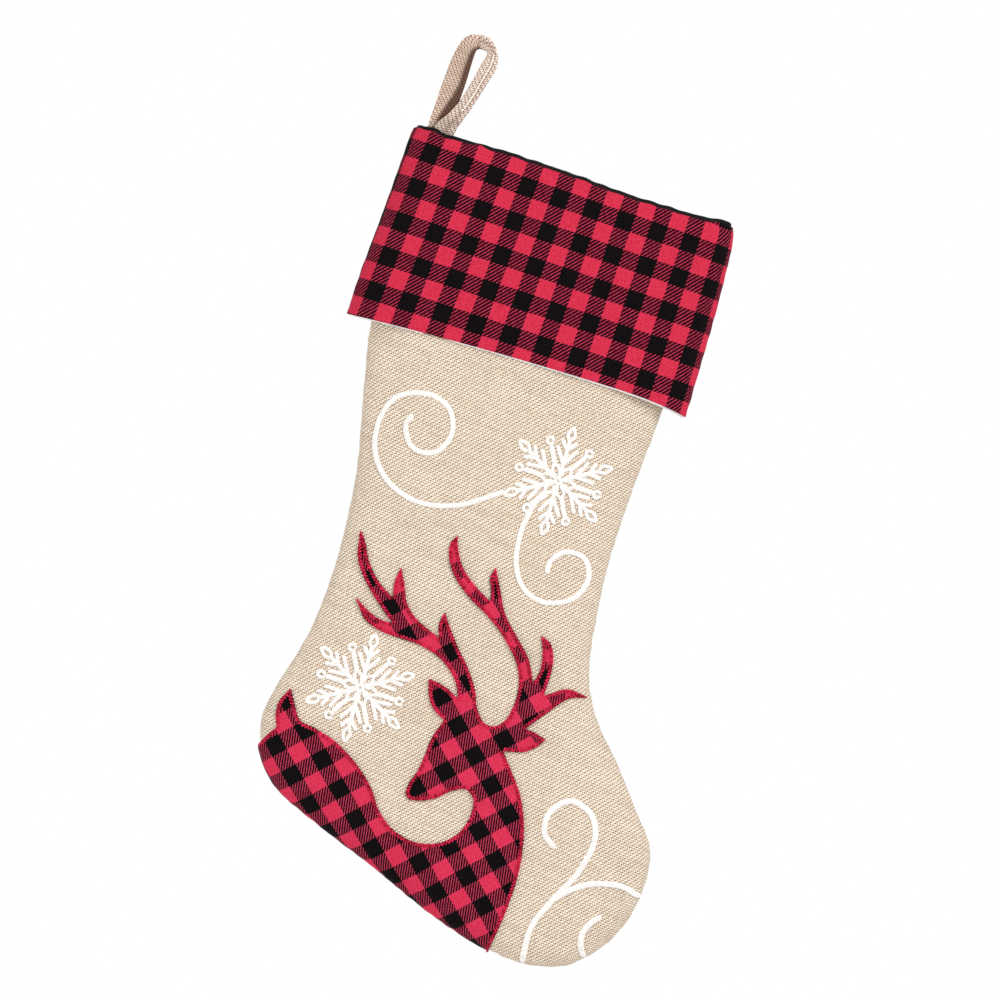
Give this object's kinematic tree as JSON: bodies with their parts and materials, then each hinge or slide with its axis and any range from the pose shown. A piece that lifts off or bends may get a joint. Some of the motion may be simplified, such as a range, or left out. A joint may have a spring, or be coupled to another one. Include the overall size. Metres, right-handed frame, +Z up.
{
  "type": "hanging stocking",
  "caption": "Hanging fabric stocking with a folded check cuff, burlap leg and foot, a check deer applique, white snowflake and swirl embroidery, and a fabric hanging loop.",
  "frame": {"origin": "where a hook bears under the top of the hanging loop", "axes": "+Z up as it hangs, -Y out of the decorated front, +X towards the toe side"},
  "size_m": [0.2829, 0.0253, 0.5554],
  "materials": {
    "burlap": "coarse plain weave, matt",
    "lining": "smooth white lining cloth",
    "check_cloth": "red and black check twill",
    "black_binding": "matt black overlocked edge",
    "red_thread": "satin stitched thread, soft sheen",
    "white_thread": "satin stitched thread, soft sheen",
    "seam_thread": "sewing thread"
  },
  "bodies": {
    "loop": {"hang_loop": "burlap", "loop_seam_stitching": "seam_thread"},
    "stocking": {"front_panel": "burlap", "back_panel": "burlap", "lining_front": "lining", "lining_back": "lining", "cuff_front": "check_cloth", "cuff_back": "check_cloth", "cuff_lining_front": "lining", "cuff_lining_back": "lining", "mouth_binding": "black_binding", "body_seam_thread": "seam_thread", "cuff_seam_thread_heel_side": "red_thread", "cuff_seam_thread_toe_side": "red_thread", "deer_applique": "check_cloth", "deer_edge_stitching": "red_thread", "snowflake_upper": "white_thread", "snowflake_lower": "white_thread", "swirl_upper_left": "white_thread", "swirl_upper_right": "white_thread", "toe_swirl_main": "white_thread", "toe_swirl_branch": "white_thread", "toe_swirl_hook": "white_thread", "loop_tails": "burlap", "loop_bar_tack": "seam_thread"}
  },
  "joints": [
    {"name": "stocking_swing", "type": "hinge", "parent": "loop", "child": "stocking", "pos_m": [-0.02503, 0, -0.044], "axis": [0.9588, 0, -0.284], "range_deg": [-90, 90]}
  ]
}
